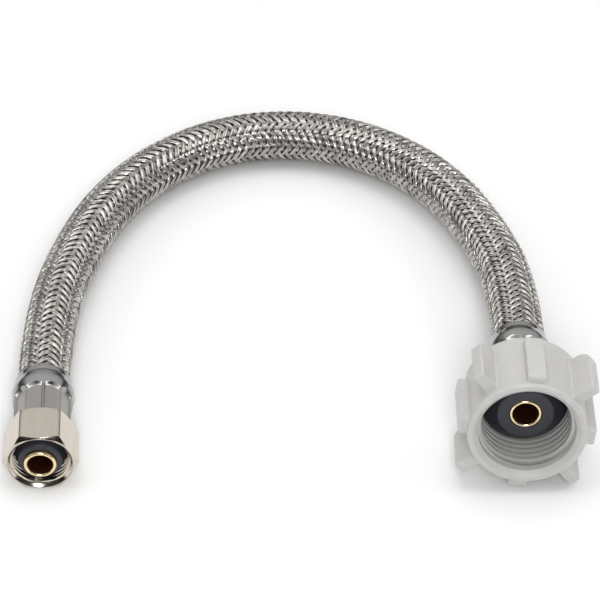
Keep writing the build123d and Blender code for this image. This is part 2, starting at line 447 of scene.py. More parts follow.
@dataclass(frozen=True)
class Finish:
    """A finish: its name, its two tones, and how rough, metallic and grained it is."""

    name: str
    colour: tuple[float, float, float]
    other_colour: tuple[float, float, float]
    metallic: float
    rough_low: float
    rough_high: float
    effect: Effect
    scale: float
    stretch: tuple[float, float, float] = (1.0, 1.0, 1.0)
    bump: float = 0.1
    bump_depth: float = 0.00002
    attribute: str = ""
    effect_share: float = 0.35
    specular: float = 0.5
    subsurface: float = 0.0

    def build(self) -> bpy.types.Material:
        """Makes the material.

        The base colour runs between the two tones, and the roughness between its two ends, by the
        effect's value. A finish with an attribute follows that attribute first and the effect second.

        Returns:
            The material.
        """
        material = bpy.data.materials.new(self.name)
        material.use_nodes = True
        graph = Graph(material.node_tree)
        shader = material.node_tree.nodes["Principled BSDF"]
        place = graph.add("ShaderNodeTexCoord").outputs["Object"]
        group = graph.add("ShaderNodeGroup", node_tree=effect_group(self.effect))
        graph.join(place, group.inputs["Vector"])
        group.inputs["Scale"].default_value = self.scale
        group.inputs["Stretch"].default_value = self.stretch
        value = group.outputs["Value"]
        if self.attribute:
            marked = graph.add("ShaderNodeAttribute", attribute_name=self.attribute)
            share = graph.math("MULTIPLY", value, self.effect_share)
            marked_share = graph.math("MULTIPLY", marked.outputs["Fac"], 1.0 - self.effect_share)
            value = graph.math("ADD", share, marked_share, clamp=True)
        graph.join(graph.blend(value, self.colour, self.other_colour), shader.inputs["Base Color"])
        graph.join(graph.span(value, self.rough_low, self.rough_high), shader.inputs["Roughness"])
        bump = graph.add("ShaderNodeBump")
        bump.inputs["Strength"].default_value = self.bump
        bump.inputs["Distance"].default_value = self.bump_depth
        graph.join(group.outputs["Height"], bump.inputs["Height"])
        graph.join(bump.outputs["Normal"], shader.inputs["Normal"])
        shader.inputs["Metallic"].default_value = self.metallic
        shader.inputs["Specular IOR Level"].default_value = self.specular
        if self.subsurface > 0:
            shader.inputs["Subsurface Weight"].default_value = self.subsurface
            shader.inputs["Subsurface Radius"].default_value = (1.0, 0.9, 0.8)
            shader.inputs["Subsurface Scale"].default_value = 0.0006
        return material


BRAID_WIRE = Finish(
    "braid_wire", (0.08, 0.072, 0.064), (0.78, 0.75, 0.71), 1.0, 0.23, 0.12, Effect.MOTTLE, 900.0,
    bump=0.15, bump_depth=0.00001, attribute="tone",
)
FERRULE_STEEL = Finish(
    "ferrule_steel", (0.36, 0.355, 0.35), (0.42, 0.40, 0.375), 1.0, 0.10, 0.36, Effect.STREAKS, 500.0,
    stretch=(3.0, 0.25, 3.0), bump=0.12, bump_depth=0.00001, attribute="satin", effect_share=0.15,
)
NICKEL = Finish(
    "nickel_plate", (0.64, 0.585, 0.51), (0.59, 0.535, 0.46), 1.0, 0.10, 0.20, Effect.STREAKS, 260.0,
    stretch=(2.0, 0.5, 2.0), bump=0.05, bump_depth=0.00001,
)
# The second colour, taken by the depth attribute, is painted shade down the stem's waterway.
BRASS = Finish(
    "machined_brass", (0.92, 0.73, 0.46), (0.30, 0.085, 0.035), 1.0, 0.18, 0.46, Effect.STREAKS, 420.0,
    bump=0.08, bump_depth=0.00001, attribute="depth", effect_share=0.12,
)
RUBBER = Finish(
    "moulded_rubber", (0.020, 0.022, 0.030), (0.036, 0.039, 0.050), 0.0, 0.38, 0.56, Effect.MOTTLE, 700.0,
    bump=0.25, bump_depth=0.00003,
)
# The second colour, taken by the nut's thread-root attribute, is painted shade that darkens the thread's
# roots.
NUT_PLASTIC = Finish(
    "nut_plastic", (0.575, 0.566, 0.550), (0.16, 0.157, 0.152), 0.0, 0.40, 0.50, Effect.MOTTLE, 320.0,
    bump=0.12, bump_depth=0.00003, attribute="soil", effect_share=0.08, subsurface=0.08,
)
TUBE_PLASTIC = Finish(
    "tube_plastic", (0.016, 0.016, 0.017), (0.034, 0.034, 0.034), 0.0, 0.5, 0.7, Effect.MOTTLE, 500.0,
)


def dress(piece: bpy.types.Object, material: bpy.types.Material) -> None:
    """Gives a piece one material."""
    piece.data.materials.clear()
    piece.data.materials.append(material)


# ---- Hose ----


class Lay(Enum):
    """Which way a strand of the braid winds round the hose."""

    RIGHT = 1
    LEFT = -1


@dataclass
class Hose:
    """The braided hose: a tube, and two sets of strands that cross over and under each other.

    A strand winds round the hose at a steady lead. Where the wave of the angle round the hose is high,
    the right-hand strands lie on top, and where it is low, the left-hand ones do, so the floats stand
    in columns along the hose: each strand goes over two others and then under two.
    """

    comp: Axes
    ball: Axes
    diameter: float = 12.7 * MM
    carriers: int = 12
    lead: float = 26.4 * MM
    wires: int = 6
    strand_width: float = 1.28 * MM
    wire_rise: float = 0.075 * MM
    crown: float = 0.21 * MM
    wave_height: float = 0.23 * MM
    wave_sharpness: float = 0.45
    strand_thickness: float = 0.20 * MM
    wire_roundness: float = 0.7
    points_per_wire: int = 4
    underside_share: float = 0.86
    # Painted shade: the tone given to each strand's underside, which also darkens its sides.
    underside_shade_tone: float = 0.2
    long_wobble: tuple[float, float] = (0.012, 11.0 * MM)
    short_wobble: tuple[float, float] = (0.007, 4.3 * MM)
    swell: tuple[float, float] = (0.12, 6.1 * MM)
    shimmer: tuple[float, float] = (0.12, 2.3 * MM)
    squeeze: float = 0.12 * MM
    tube_radius: float = 5.6 * MM
    tuck: float = 3.2 * MM
    step: float = 0.32 * MM
    strands_in_piece: int = 4
    spine: np.ndarray = field(init=False)
    tangent: np.ndarray = field(init=False)
    sideways: np.ndarray = field(init=False)
    upwards: np.ndarray = field(init=False)
    distance: np.ndarray = field(init=False)
    free_points: np.ndarray = field(init=False)

    def __post_init__(self) -> None:
        """Reads the centreline from a NURBS spline through the route, and works out its axes."""
        self.free_points = self.read_spline()
        ends = [self.comp.along * self.tuck, self.ball.along * self.tuck]
        line = np.vstack([self.free_points[0] + ends[0], self.free_points, self.free_points[-1] + ends[1]])
        walked = np.concatenate([[0.0], np.cumsum(np.linalg.norm(np.diff(line, axis=0), axis=1))])
        count = int(np.ceil(walked[-1] / self.step)) + 1
        self.distance = np.linspace(0.0, walked[-1], count)
        self.spine = np.stack([np.interp(self.distance, walked, part) for part in line.T], axis=-1)
        self.tangent = unit(np.gradient(self.spine, self.distance, axis=0))
        self.sideways = unit(np.cross(self.tangent, np.array([0.0, 0.0, 1.0])))
        self.upwards = np.cross(self.sideways, self.tangent)

    def read_spline(self) -> np.ndarray:
        """Points along the hose's smooth centreline: a NURBS spline with the route as its control points.

        Returns:
            The points.
        """
        curve = bpy.data.curves.new("hose_route", "CURVE")
        curve.dimensions = "3D"
        curve.resolution_u = 60
        spline = curve.splines.new("NURBS")
        spline.points.add(len(ROUTE) - 1)
        for point, place in zip(spline.points, ROUTE):
            point.co = (*place, 1.0)
        spline.order_u = 3
        spline.use_endpoint_u = True
        holder = bpy.data.objects.new("hose_route", curve)
        bpy.context.scene.collection.objects.link(holder)
        mesh = bpy.data.meshes.new_from_object(holder)
        points = np.empty(len(mesh.vertices) * 3)
        mesh.vertices.foreach_get("co", points)
        bpy.data.meshes.remove(mesh)
        bpy.data.objects.remove(holder)
        bpy.data.curves.remove(curve)
        return points.reshape(-1, 3)

    @property
    def free_length(self) -> float:
        """Length of the centreline between the two ferrules."""
        return float(np.linalg.norm(np.diff(self.free_points, axis=0), axis=1).sum())

    def wrap(self, radius: np.ndarray, angle: np.ndarray, row: np.ndarray) -> np.ndarray:
        """Points round the centreline: station + radius * (sideways * cos(angle) + upwards * sin(angle)).

        Args:
            radius: distance from the centreline.
            angle: angle from sideways to upwards.
            row: numbers of the stations.

        Returns:
            The points.
        """
        side = self.sideways[row] * np.cos(angle)[..., None]
        up = self.upwards[row] * np.sin(angle)[..., None]
        return self.spine[row] + radius[..., None] * (side + up)

    def strand(self, lay: Lay, number: int, dice: np.random.Generator) -> tuple[np.ndarray, np.ndarray]:
        """Points and tones of one strand, a flat bundle of wires.

        The section is a closed loop: half-round bumps for the wires on top of a low crown, and a flat
        underside. It is carried along a helix whose radius follows the wave of the angle.

        Args:
            lay: which way the strand winds.
            number: which of the strands of that lay this is.
            dice: source of the strand's own unevenness.

        Returns:
            The points, by station and by place in the section, and a tone for each point.
        """
        across = np.linspace(-1.0, 1.0, self.wires * self.points_per_wire + 1)
        bump = np.abs(np.sin(np.pi * self.wires * (across + 1.0) / 2.0)) ** self.wire_roundness
        top = self.wire_rise * bump + self.crown * (1.0 - across**2)
        under = np.array([self.underside_share, -self.underside_share])
        place = np.concatenate([across, under]) * self.strand_width / 2.0
        rise = np.concatenate([top, np.full(2, -self.strand_thickness)])

        slope = lay.value * TURN / self.lead
        start = TURN * (number + (0.5 if lay is Lay.LEFT else 0.0)) / self.carriers
        along = self.distance
        middle = start + slope * along
        for size, length in (self.long_wobble, self.short_wobble):
            middle = middle + size * np.sin(along / length + dice.uniform(0, TURN))
        pitch_angle = np.arctan(abs(slope) * self.diameter / 2.0)
        # Moving across the strand moves both round the hose and along it
        round_share = place * np.cos(pitch_angle) / (self.diameter / 2.0) * -lay.value
        along_share = place * np.sin(pitch_angle)
        angle = middle[:, None] + round_share[None, :]
        station = along[:, None] + along_share[None, :]
        station = np.clip(station, 0.0, along[-1])

        wave = np.cos(self.carriers / 2.0 * angle)
        wave = lay.value * wave / np.sqrt(wave**2 + self.wave_sharpness**2)
        swell = 1.0 + self.swell[0] * np.sin(along / self.swell[1] + dice.uniform(0, TURN))
        tops_at = self.diameter / 2.0 - self.wave_height - self.crown - 0.6 * self.wire_rise
        radius = tops_at + self.wave_height * wave * swell[:, None] + rise[None, :]
        points = self.wrap_between(radius - self.tuck_shrink(station), angle, station)
        tones = dice.uniform(0.05, 1.0, self.wires)
        wire = np.clip(((across + 1.0) / 2.0 * self.wires).astype(int), 0, self.wires - 1)
        # Painted shade: the two underside points take a dark tone, so each strand darkens down its sides.
        tone = np.concatenate([tones[wire], [self.underside_shade_tone] * 2])[None, :]
        # Each wire's shimmer starts at its own place, which its tone gives
        shimmer = np.sin(along[:, None] / self.shimmer[1] + 7.0 * tone + dice.uniform(0, TURN))
        return points, np.clip(tone + self.shimmer[0] * shimmer, 0.0, 1.0)

    def tuck_shrink(self, station: np.ndarray) -> np.ndarray:
        """How far the braid is drawn in where it goes into a ferrule."""
        depth = np.maximum(self.tuck - station, station - (self.distance[-1] - self.tuck))
        return self.squeeze * np.clip(depth / (0.5 * self.tuck) + 0.3, 0.0, 1.0)

    def wrap_between(self, radius: np.ndarray, angle: np.ndarray, station: np.ndarray) -> np.ndarray:
        """Points round the centreline at places that lie between its numbered stations.

        Args:
            radius: distance from the centreline.
            angle: angle from sideways to upwards.
            station: distance along the centreline.

        Returns:
            The points, each taken part way from one station's to the next one's.
        """
        exact_row = station / self.distance[-1] * (len(self.distance) - 1)
        row = np.clip(exact_row.astype(int), 0, len(self.distance) - 2)
        share = (exact_row - row)[..., None]
        return self.wrap(radius, angle, row) * (1.0 - share) + self.wrap(radius, angle, row + 1) * share

    def strand_pieces(self, lay: Lay) -> list[bpy.types.Object]:
        """All strands of one lay, several to a piece.

        Args:
            lay: which way the strands wind.

        Returns:
            The pieces.
        """
        dice = np.random.default_rng(20 + lay.value)
        pieces = []
        for first in range(0, self.carriers, self.strands_in_piece):
            numbers = range(first, first + self.strands_in_piece)
            made = [self.strand(lay, number, dice) for number in numbers]
            shape = made[0][1].shape
            # The mirrored lay has its faces' corners the other way round
            turn = -1 if lay is Lay.RIGHT else 1
            offsets = (np.arange(len(made)) * shape[0] * shape[1])[:, None, None]
            faces = [(offsets + part[:, ::turn]).reshape(-1, part.shape[1]) for part in tube_faces(*shape)]
            points = np.concatenate([points.reshape(-1, 3) for points, _ in made])
            name = f"braid_{lay.name.lower()}_{first // self.strands_in_piece + 1}"
            piece = mesh_object(name, points, faces)
            add_attribute(piece, "tone", np.concatenate([tone.ravel() for _, tone in made]))
            pieces.append(piece)
        return pieces

    def tube(self) -> bpy.types.Object:
        """The tube under the braid: a circle carried along the centreline, closed at both ends.

        Returns:
            The piece.
        """
        columns = 48
        row, angle = np.meshgrid(
            np.arange(0, len(self.distance), 3), np.arange(columns) * TURN / columns, indexing="ij"
        )
        points = self.wrap(np.full(row.shape, self.tube_radius), angle, row)
        return mesh_object("hose_tube", points, tube_faces(*row.shape))

    def build(self, wire: bpy.types.Material, plastic: bpy.types.Material) -> None:
        """Args:
            wire: the strands' material.
            plastic: the tube's material.
        """
        tube = self.tube()
        dress(tube, plastic)
        strands = self.strand_pieces(Lay.RIGHT) + self.strand_pieces(Lay.LEFT)
        for strand in strands:
            dress(strand, wire)
            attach(strand, "hose")
            LOG.info("%s: %d faces", strand.name, len(strand.data.polygons))
        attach(tube, "hose")
        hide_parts("braid_sleeve")
        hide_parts("inner_tube")
        LOG.info("hose: free length %.1f mm", self.free_length / MM)


# ---- Threads ----


@dataclass(frozen=True)
class Thread:
    """A right-hand thread in a bore: the radii of its crest and root, its pitch and its form.

    The shares are parts of half a pitch: the flat of the crest, then the flank, and the root is the rest.
    """

    crest: float
    root: float
    pitch: float
    crest_share: float
    flank_share: float
    run_out_share: float = 0.35
    steps: int = 16

    def profile(self, phase: np.ndarray) -> np.ndarray:
        """Radius for a share of a pitch: root, flank, flat crest in the middle, flank and root again.

        Args:
            phase: place along the thread, in pitches.

        Returns:
            The radius at each place.
        """
        away = np.abs((phase % 1.0) - 0.5) * 2.0
        rise = soft_step((away - self.crest_share) / self.flank_share)
        return self.crest + (self.root - self.crest) * rise

    def rows(
        self, low: float, high: float, angle: np.ndarray, low_radius: float, high_radius: float
    ) -> Band:
        """Rows of the thread's surface, from a low place to a high one.

        Row k stands at the place low + pitch * (k / steps + angle / turn - 1), kept between the two
        ends. Its radius is the profile's, and runs out to the neighbouring surface's at each end.

        Args:
            low: where the thread starts, along the fitting.
            high: where it ends.
            angle: the grid's angles, from 0 to a full turn.
            low_radius: radius of the surface that it meets at the low end.
            high_radius: radius of the surface that it meets at the high end.

        Returns:
            The radius and the place along for each row and angle.
        """
        turns = (high - low) / self.pitch + 1.0
        row = np.arange(int(np.ceil(turns * self.steps)) + 1)
        place = low + self.pitch * (row[:, None] / self.steps + angle[None, :] / TURN - 1.0)
        radius = np.broadcast_to(self.profile(row[:, None] / self.steps), place.shape)
        place = np.clip(place, low, high)
        run_out = self.run_out_share * self.pitch
        from_low = np.clip((place - low) / run_out, 0.0, 1.0)
        from_high = np.clip((high - place) / run_out, 0.0, 1.0)
        radius = low_radius + (radius - low_radius) * from_low
        radius = high_radius + (radius - high_radius) * from_high
        return radius, place


def plain_rows(outline: np.ndarray | list[tuple[float, float]], columns: int) -> Band:
    """Rows of a turned surface: each outline point's radius and place, the same at every angle.

    Args:
        outline: radius and place along for each point.
        columns: number of angles.

    Returns:
        The radius and the place along for each row and angle.
    """
    outline = np.array(outline)
    shape = (len(outline), columns)
    return np.broadcast_to(outline[:, 0, None], shape), np.broadcast_to(outline[:, 1, None], shape)


def round_piece(
    name: str, axes: Axes, bands: list[Band], angle: np.ndarray, crease_deg: float
) -> bpy.types.Object:
    """A closed piece made of bands of rows round an axis.

    Args:
        name: the piece's name.
        axes: the fitting's axes.
        bands: radius and place along for each row and angle of each band, in order round the outline.
        angle: the grid's angles, from 0 to a full turn, both included.
        crease_deg: turns of the surface over this angle stay sharp.

    Returns:
        The piece.
    """
    radius = np.concatenate([band[0] for band in bands])
    place = np.concatenate([band[1] for band in bands])
    points = axes.place_polar(radius, np.broadcast_to(angle, radius.shape), place)
    piece = mesh_object(name, points, [grid_quads(*radius.shape, True, False)])
    weld(piece, crease_deg)
    return piece


# ---- Fittings ----


@dataclass
class Ferrule:
    """A crimped ferrule: a rim and a bright bulge at the hose, then flats with thin fins between them."""

    name: str
    axes: Axes
    length: float = 16.2 * MM
    rim_radius: float = 6.9 * MM
    rim_length: float = 1.8 * MM
    lip: float = 0.28 * MM
    bulge_radius: float = 7.45 * MM
    bulge_length: float = 5.6 * MM
    flats: int = 10
    flat_radius: float = 6.4 * MM
    arch: float = 1.0 * MM
    fall: float = 1.5 * MM
    fin_radius: float = 7.05 * MM
    fin_half_deg: float = 2.3
    fin_start_deg: float = 14.0
    bore: float = 6.42 * MM
    groove: float = 4.65 * MM
    shoulder: float = 7.22 * MM
    crown: float = 0.06 * MM
    end_round: float = 0.3 * MM
    wall: float = 0.6 * MM
    columns: int = 360

    def surface(self, angle: np.ndarray) -> tuple[np.ndarray, np.ndarray, np.ndarray]:
        """The ferrule's closed surface as radius, place and satin share, for each row and angle.

        A flat's radius is flat_radius over the cosine of the angle from its middle. A fin is a raised
        round ridge over the corner between two flats. The bulge falls to the flats in a smooth step
        that starts later towards the fins, by the square of the angle, so each flat has an arched top.

        Args:
            angle: the grid's angles.

        Returns:
            The radius, the place along and the satin share.
        """
        sector = TURN / self.flats
        from_fin = np.abs((angle - np.radians(self.fin_start_deg) + sector / 2) % sector - sector / 2)
        from_middle = sector / 2 - from_fin
        flat = self.flat_radius / np.cos(from_middle)
        ridge = soft_step(1.6 - 1.1 * from_fin / np.radians(self.fin_half_deg))
        crimped = flat + (self.fin_radius - flat) * ridge
        fall_start = self.bulge_length + self.arch * (2 * from_middle / sector) ** 2

        # The rim and the back of the bulge are turned
        peak = self.bulge_radius + self.crown
        top = (self.rim_length + self.bulge_length) / 2 + 0.4 * MM
        turned = arc_outline(
            [
                (self.bore, self.bulge_length * 0.6, 0),
                (self.bore, 0.0, self.lip),
                (self.rim_radius, 0.0, self.lip),
                (self.rim_radius, self.rim_length, 0.25 * MM),
                (self.shoulder, self.rim_length + 0.55 * MM, 0.45 * MM),
                (peak, top, 0),
            ],
            closed=False,
        )
        bands = [(*plain_rows(split_runs(turned, 0.5 * MM, closed=False), len(angle)), 0.0)]
        # The front of the bulge runs to the arched tops of the flats
        lead = np.linspace(0.25, 1.0, 4)[:, None]
        bands.append((peak + (self.shoulder - peak) * lead**2, top + (fall_start - top) * lead, 0.0))
        share = np.linspace(0.0, 1.0, 17)[:, None]
        radius = self.shoulder + (crimped - self.shoulder) * soft_step(share)
        bands.append((radius, fall_start + self.fall * share, soft_step(3.0 * share - 2.0)))
        # The flats, and their rounded end
        end = self.length - self.end_round
        run = np.linspace(0.1, 1.0, 12)[:, None]
        flats_start = fall_start + self.fall
        bands.append((crimped, flats_start + (end - flats_start) * run, 1.0 - 0.85 * ridge))
        edge = np.linspace(0.0, np.pi / 2, 5)[1:, None]
        radius = crimped - self.end_round * (1 - np.cos(edge))
        bands.append((radius, end + self.end_round * np.sin(edge), 0.0))

        inside = [
            (self.groove, self.length),
            (self.groove, self.length - self.wall),
            (self.flat_radius - self.wall, self.length - self.wall),
            (self.flat_radius - self.wall, self.bulge_length),
        ]
        bands.append((*plain_rows(inside, len(angle)), 1.0))
        spread = [np.broadcast_arrays(*band, angle)[:3] for band in bands]
        return tuple(np.concatenate([band[part] for band in spread]) for part in range(3))

    def build(self, steel: bpy.types.Material) -> None:
        """Makes the ferrule in its material, in place of its node.

        Args:
            steel: the material.
        """
        angle = np.arange(self.columns) * TURN / self.columns
        radius, place, satin = self.surface(angle)
        points = self.axes.place_polar(radius, np.broadcast_to(angle, radius.shape), place)
        piece = mesh_object(f"{self.name}_crimped", points, [grid_quads(*radius.shape, True, True)])
        add_attribute(piece, "satin", satin)
        weld(piece, 55.0)
        finish_piece(piece, steel, "hose", self.name)


def finish_piece(
    piece: bpy.types.Object, material: bpy.types.Material, body: str, node: str
) -> None:
    """Dresses a piece, lets it ride on its body and lets it stand for its node.

    Args:
        piece: the piece.
        material: its material.
        body: the body that it moves with.
        node: the node that it replaces.
    """
    dress(piece, material)
    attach(piece, body)
    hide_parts(node)
    LOG.info("%s: %d faces", piece.name, len(piece.data.polygons))


@dataclass
class Stem:
    """A brass stem: a neck in the ferrule, a collar behind the seal, and a nose with a waterway in it."""

    name: str
    axes: Axes
    collar_back: float
    collar_radius: float
    seat: float
    tip: float
    back: float = 3.0 * MM
    tail_radius: float = 4.0 * MM
    neck_radius: float = 4.9 * MM
    neck_back: float = 15.1 * MM
    nose_radius: float = 3.85 * MM
    bore: float = 3.0 * MM
    bright_depth: float = 0.3 * MM
    dark_depth: float = 0.9 * MM
    columns: int = 96

    def build(self, brass: bpy.types.Material) -> None:
        """Makes the stem, with painted shade darkening its colour down its waterway.

        Args:
            brass: the material.
        """
        corners = [
            (self.bore, self.back, 0),
            (self.tail_radius, self.back, 0),
            (self.tail_radius, self.neck_back, 0),
            (self.groove_radius, self.neck_back, 0),
            (self.groove_radius, self.collar_back, 0),
            (self.collar_radius, self.collar_back, 0.2 * MM),
            (self.collar_radius, self.seat, 0.2 * MM),
            (self.nose_radius, self.seat, 0),
            (self.nose_radius, self.tip, 0.42 * MM),
            (self.bore, self.tip, 0.36 * MM),
        ]
        outline = split_runs(arc_outline(corners, closed=True), 0.8 * MM, closed=True)
        # Painted shade: past bright_depth the waterway's colour turns dark red-brown over dark_depth.
        in_bore = outline[:, 0] < self.bore + 0.05 * MM
        down = (self.tip - self.bright_depth - outline[:, 1]) / self.dark_depth
        marks = {"depth": np.clip(down, 0.0, 1.0) * in_bore}
        piece = turned_piece(f"{self.name}_turned", self.axes, outline, self.columns, 40.0, marks)
        finish_piece(piece, brass, "hose", self.name)

    @property
    def groove_radius(self) -> float:
        """Radius of the neck, just inside the ferrule's hole."""
        return self.neck_radius - 0.3 * MM


@dataclass
class CompressionNut:
    """A hexagon nut with turned ends, nickel plated, with a fine thread in its mouth."""

    axes: Axes
    back: float = 16.3 * MM
    mouth: float = 27.3 * MM
    flat_radius: float = 7.9375 * MM
    corner_radius: float = 8.95 * MM
    face_radius: float = 7.62 * MM
    chamfer_deg: float = 32.0
    floor_top: float = 18.3 * MM
    hole: float = 5.1 * MM
    relief_radius: float = 7.1 * MM
    relief_length: float = 1.2 * MM
    lead_in: float = 0.55 * MM
    back_edge: float = 0.3 * MM
    back_step: float = 0.04 * MM
    lip_height: float = 0.16 * MM
    corner_softness: float = 0.05 * MM
    corner_gathering: float = 0.11
    thread: Thread = Thread(6.57 * MM, 7.12 * MM, 1.058 * MM, 0.16, 0.62)
    columns: int = 288

    def hexagon(self, angle: np.ndarray) -> np.ndarray:
        """Radius of the hexagon: its flat's distance over the cosine of the angle from the flat's middle.

        Near a corner the radius is held under corner_radius by a smooth minimum, so the corner is round.

        Args:
            angle: angles round the nut.

        Returns:
            The radius at each angle.
        """
        from_middle = np.abs((angle % (TURN / 6)) - TURN / 12)
        past_corner = self.flat_radius / np.cos(from_middle) - self.corner_radius
        soft = self.corner_softness
        return self.corner_radius - soft * np.log(np.exp(-past_corner / soft) + 1.0)

    def build(self, plate: bpy.types.Material) -> None:
        """Makes the nut: rows of the flats run between the two cones, whose edges follow the hexagon.

        Args:
            plate: the material.
        """
        fine = np.linspace(0.0, TURN, self.columns + 1)
        # More columns stand near the corners, where the hexagon turns
        angle = fine - self.corner_gathering * np.sin(6 * fine)
        hexagon = self.hexagon(angle)
        past_face = hexagon - self.face_radius
        cone_depth = past_face * np.tan(np.radians(self.chamfer_deg))
        lip_top = self.mouth - self.lip_height
        lip_low = self.thread.root + self.lead_in
        thread_top = self.mouth - self.lead_in - 0.1 * MM
        relief_top = self.floor_top + self.relief_length

        back_face = plain_rows([
            (self.hole, self.floor_top),
            (self.hole, self.back + self.back_edge),
            (self.hole + self.back_edge, self.back),
            (self.face_radius - 0.1 * MM, self.back),
        ], len(angle))
        share = np.array([0.0, 0.5, 0.94])[:, None]
        back_cone = (self.face_radius + past_face * share, self.back + self.back_step + cone_depth * share)
        share = np.array([0.06, 0.14, 0.5, 0.86, 0.94])[:, None]
        side_length = self.mouth - self.back - 2 * cone_depth
        side = np.broadcast_arrays(hexagon, self.back + cone_depth + side_length * share)
        # The front is a cone that rolls over into the ring round the mouth
        share = np.linspace(1.0, 0.0, 9)[:, None]
        front_cone = (self.face_radius + past_face * share, lip_top - cone_depth * share**1.25)
        swing = np.linspace(0, np.pi, 9)[1:-1]
        middle = (self.face_radius + lip_low) / 2
        half = (self.face_radius - lip_low) / 2
        lip = np.stack([middle + half * np.cos(swing), lip_top + self.lip_height * np.sin(swing)], axis=-1)
        ring = plain_rows(lip, len(angle))
        inner = plain_rows([(lip_low, lip_top), (self.thread.root, thread_top)], len(angle))
        relief = self.relief_radius
        radius, place = self.thread.rows(relief_top, thread_top, angle, relief, self.thread.root)
        thread = (radius[::-1], place[::-1])
        floor = plain_rows([(relief, relief_top), (relief, self.floor_top)], len(angle))
        bands = [back_face, back_cone, side, front_cone, ring, inner, thread, floor]
        piece = round_piece("compression_nut_plated", self.axes, bands, angle, 20.0)
        finish_piece(piece, plate, "compression_nut", "compression_nut")


@dataclass(frozen=True)
class Grip:
    """A grip on the ballcock nut: where it stands, how far it reaches and how round it is."""

    name: str
    angle_deg: float
    front: float
    tip: float
    width: float
    length: float
    back_corner: float
    front_corner: float
    edge: float


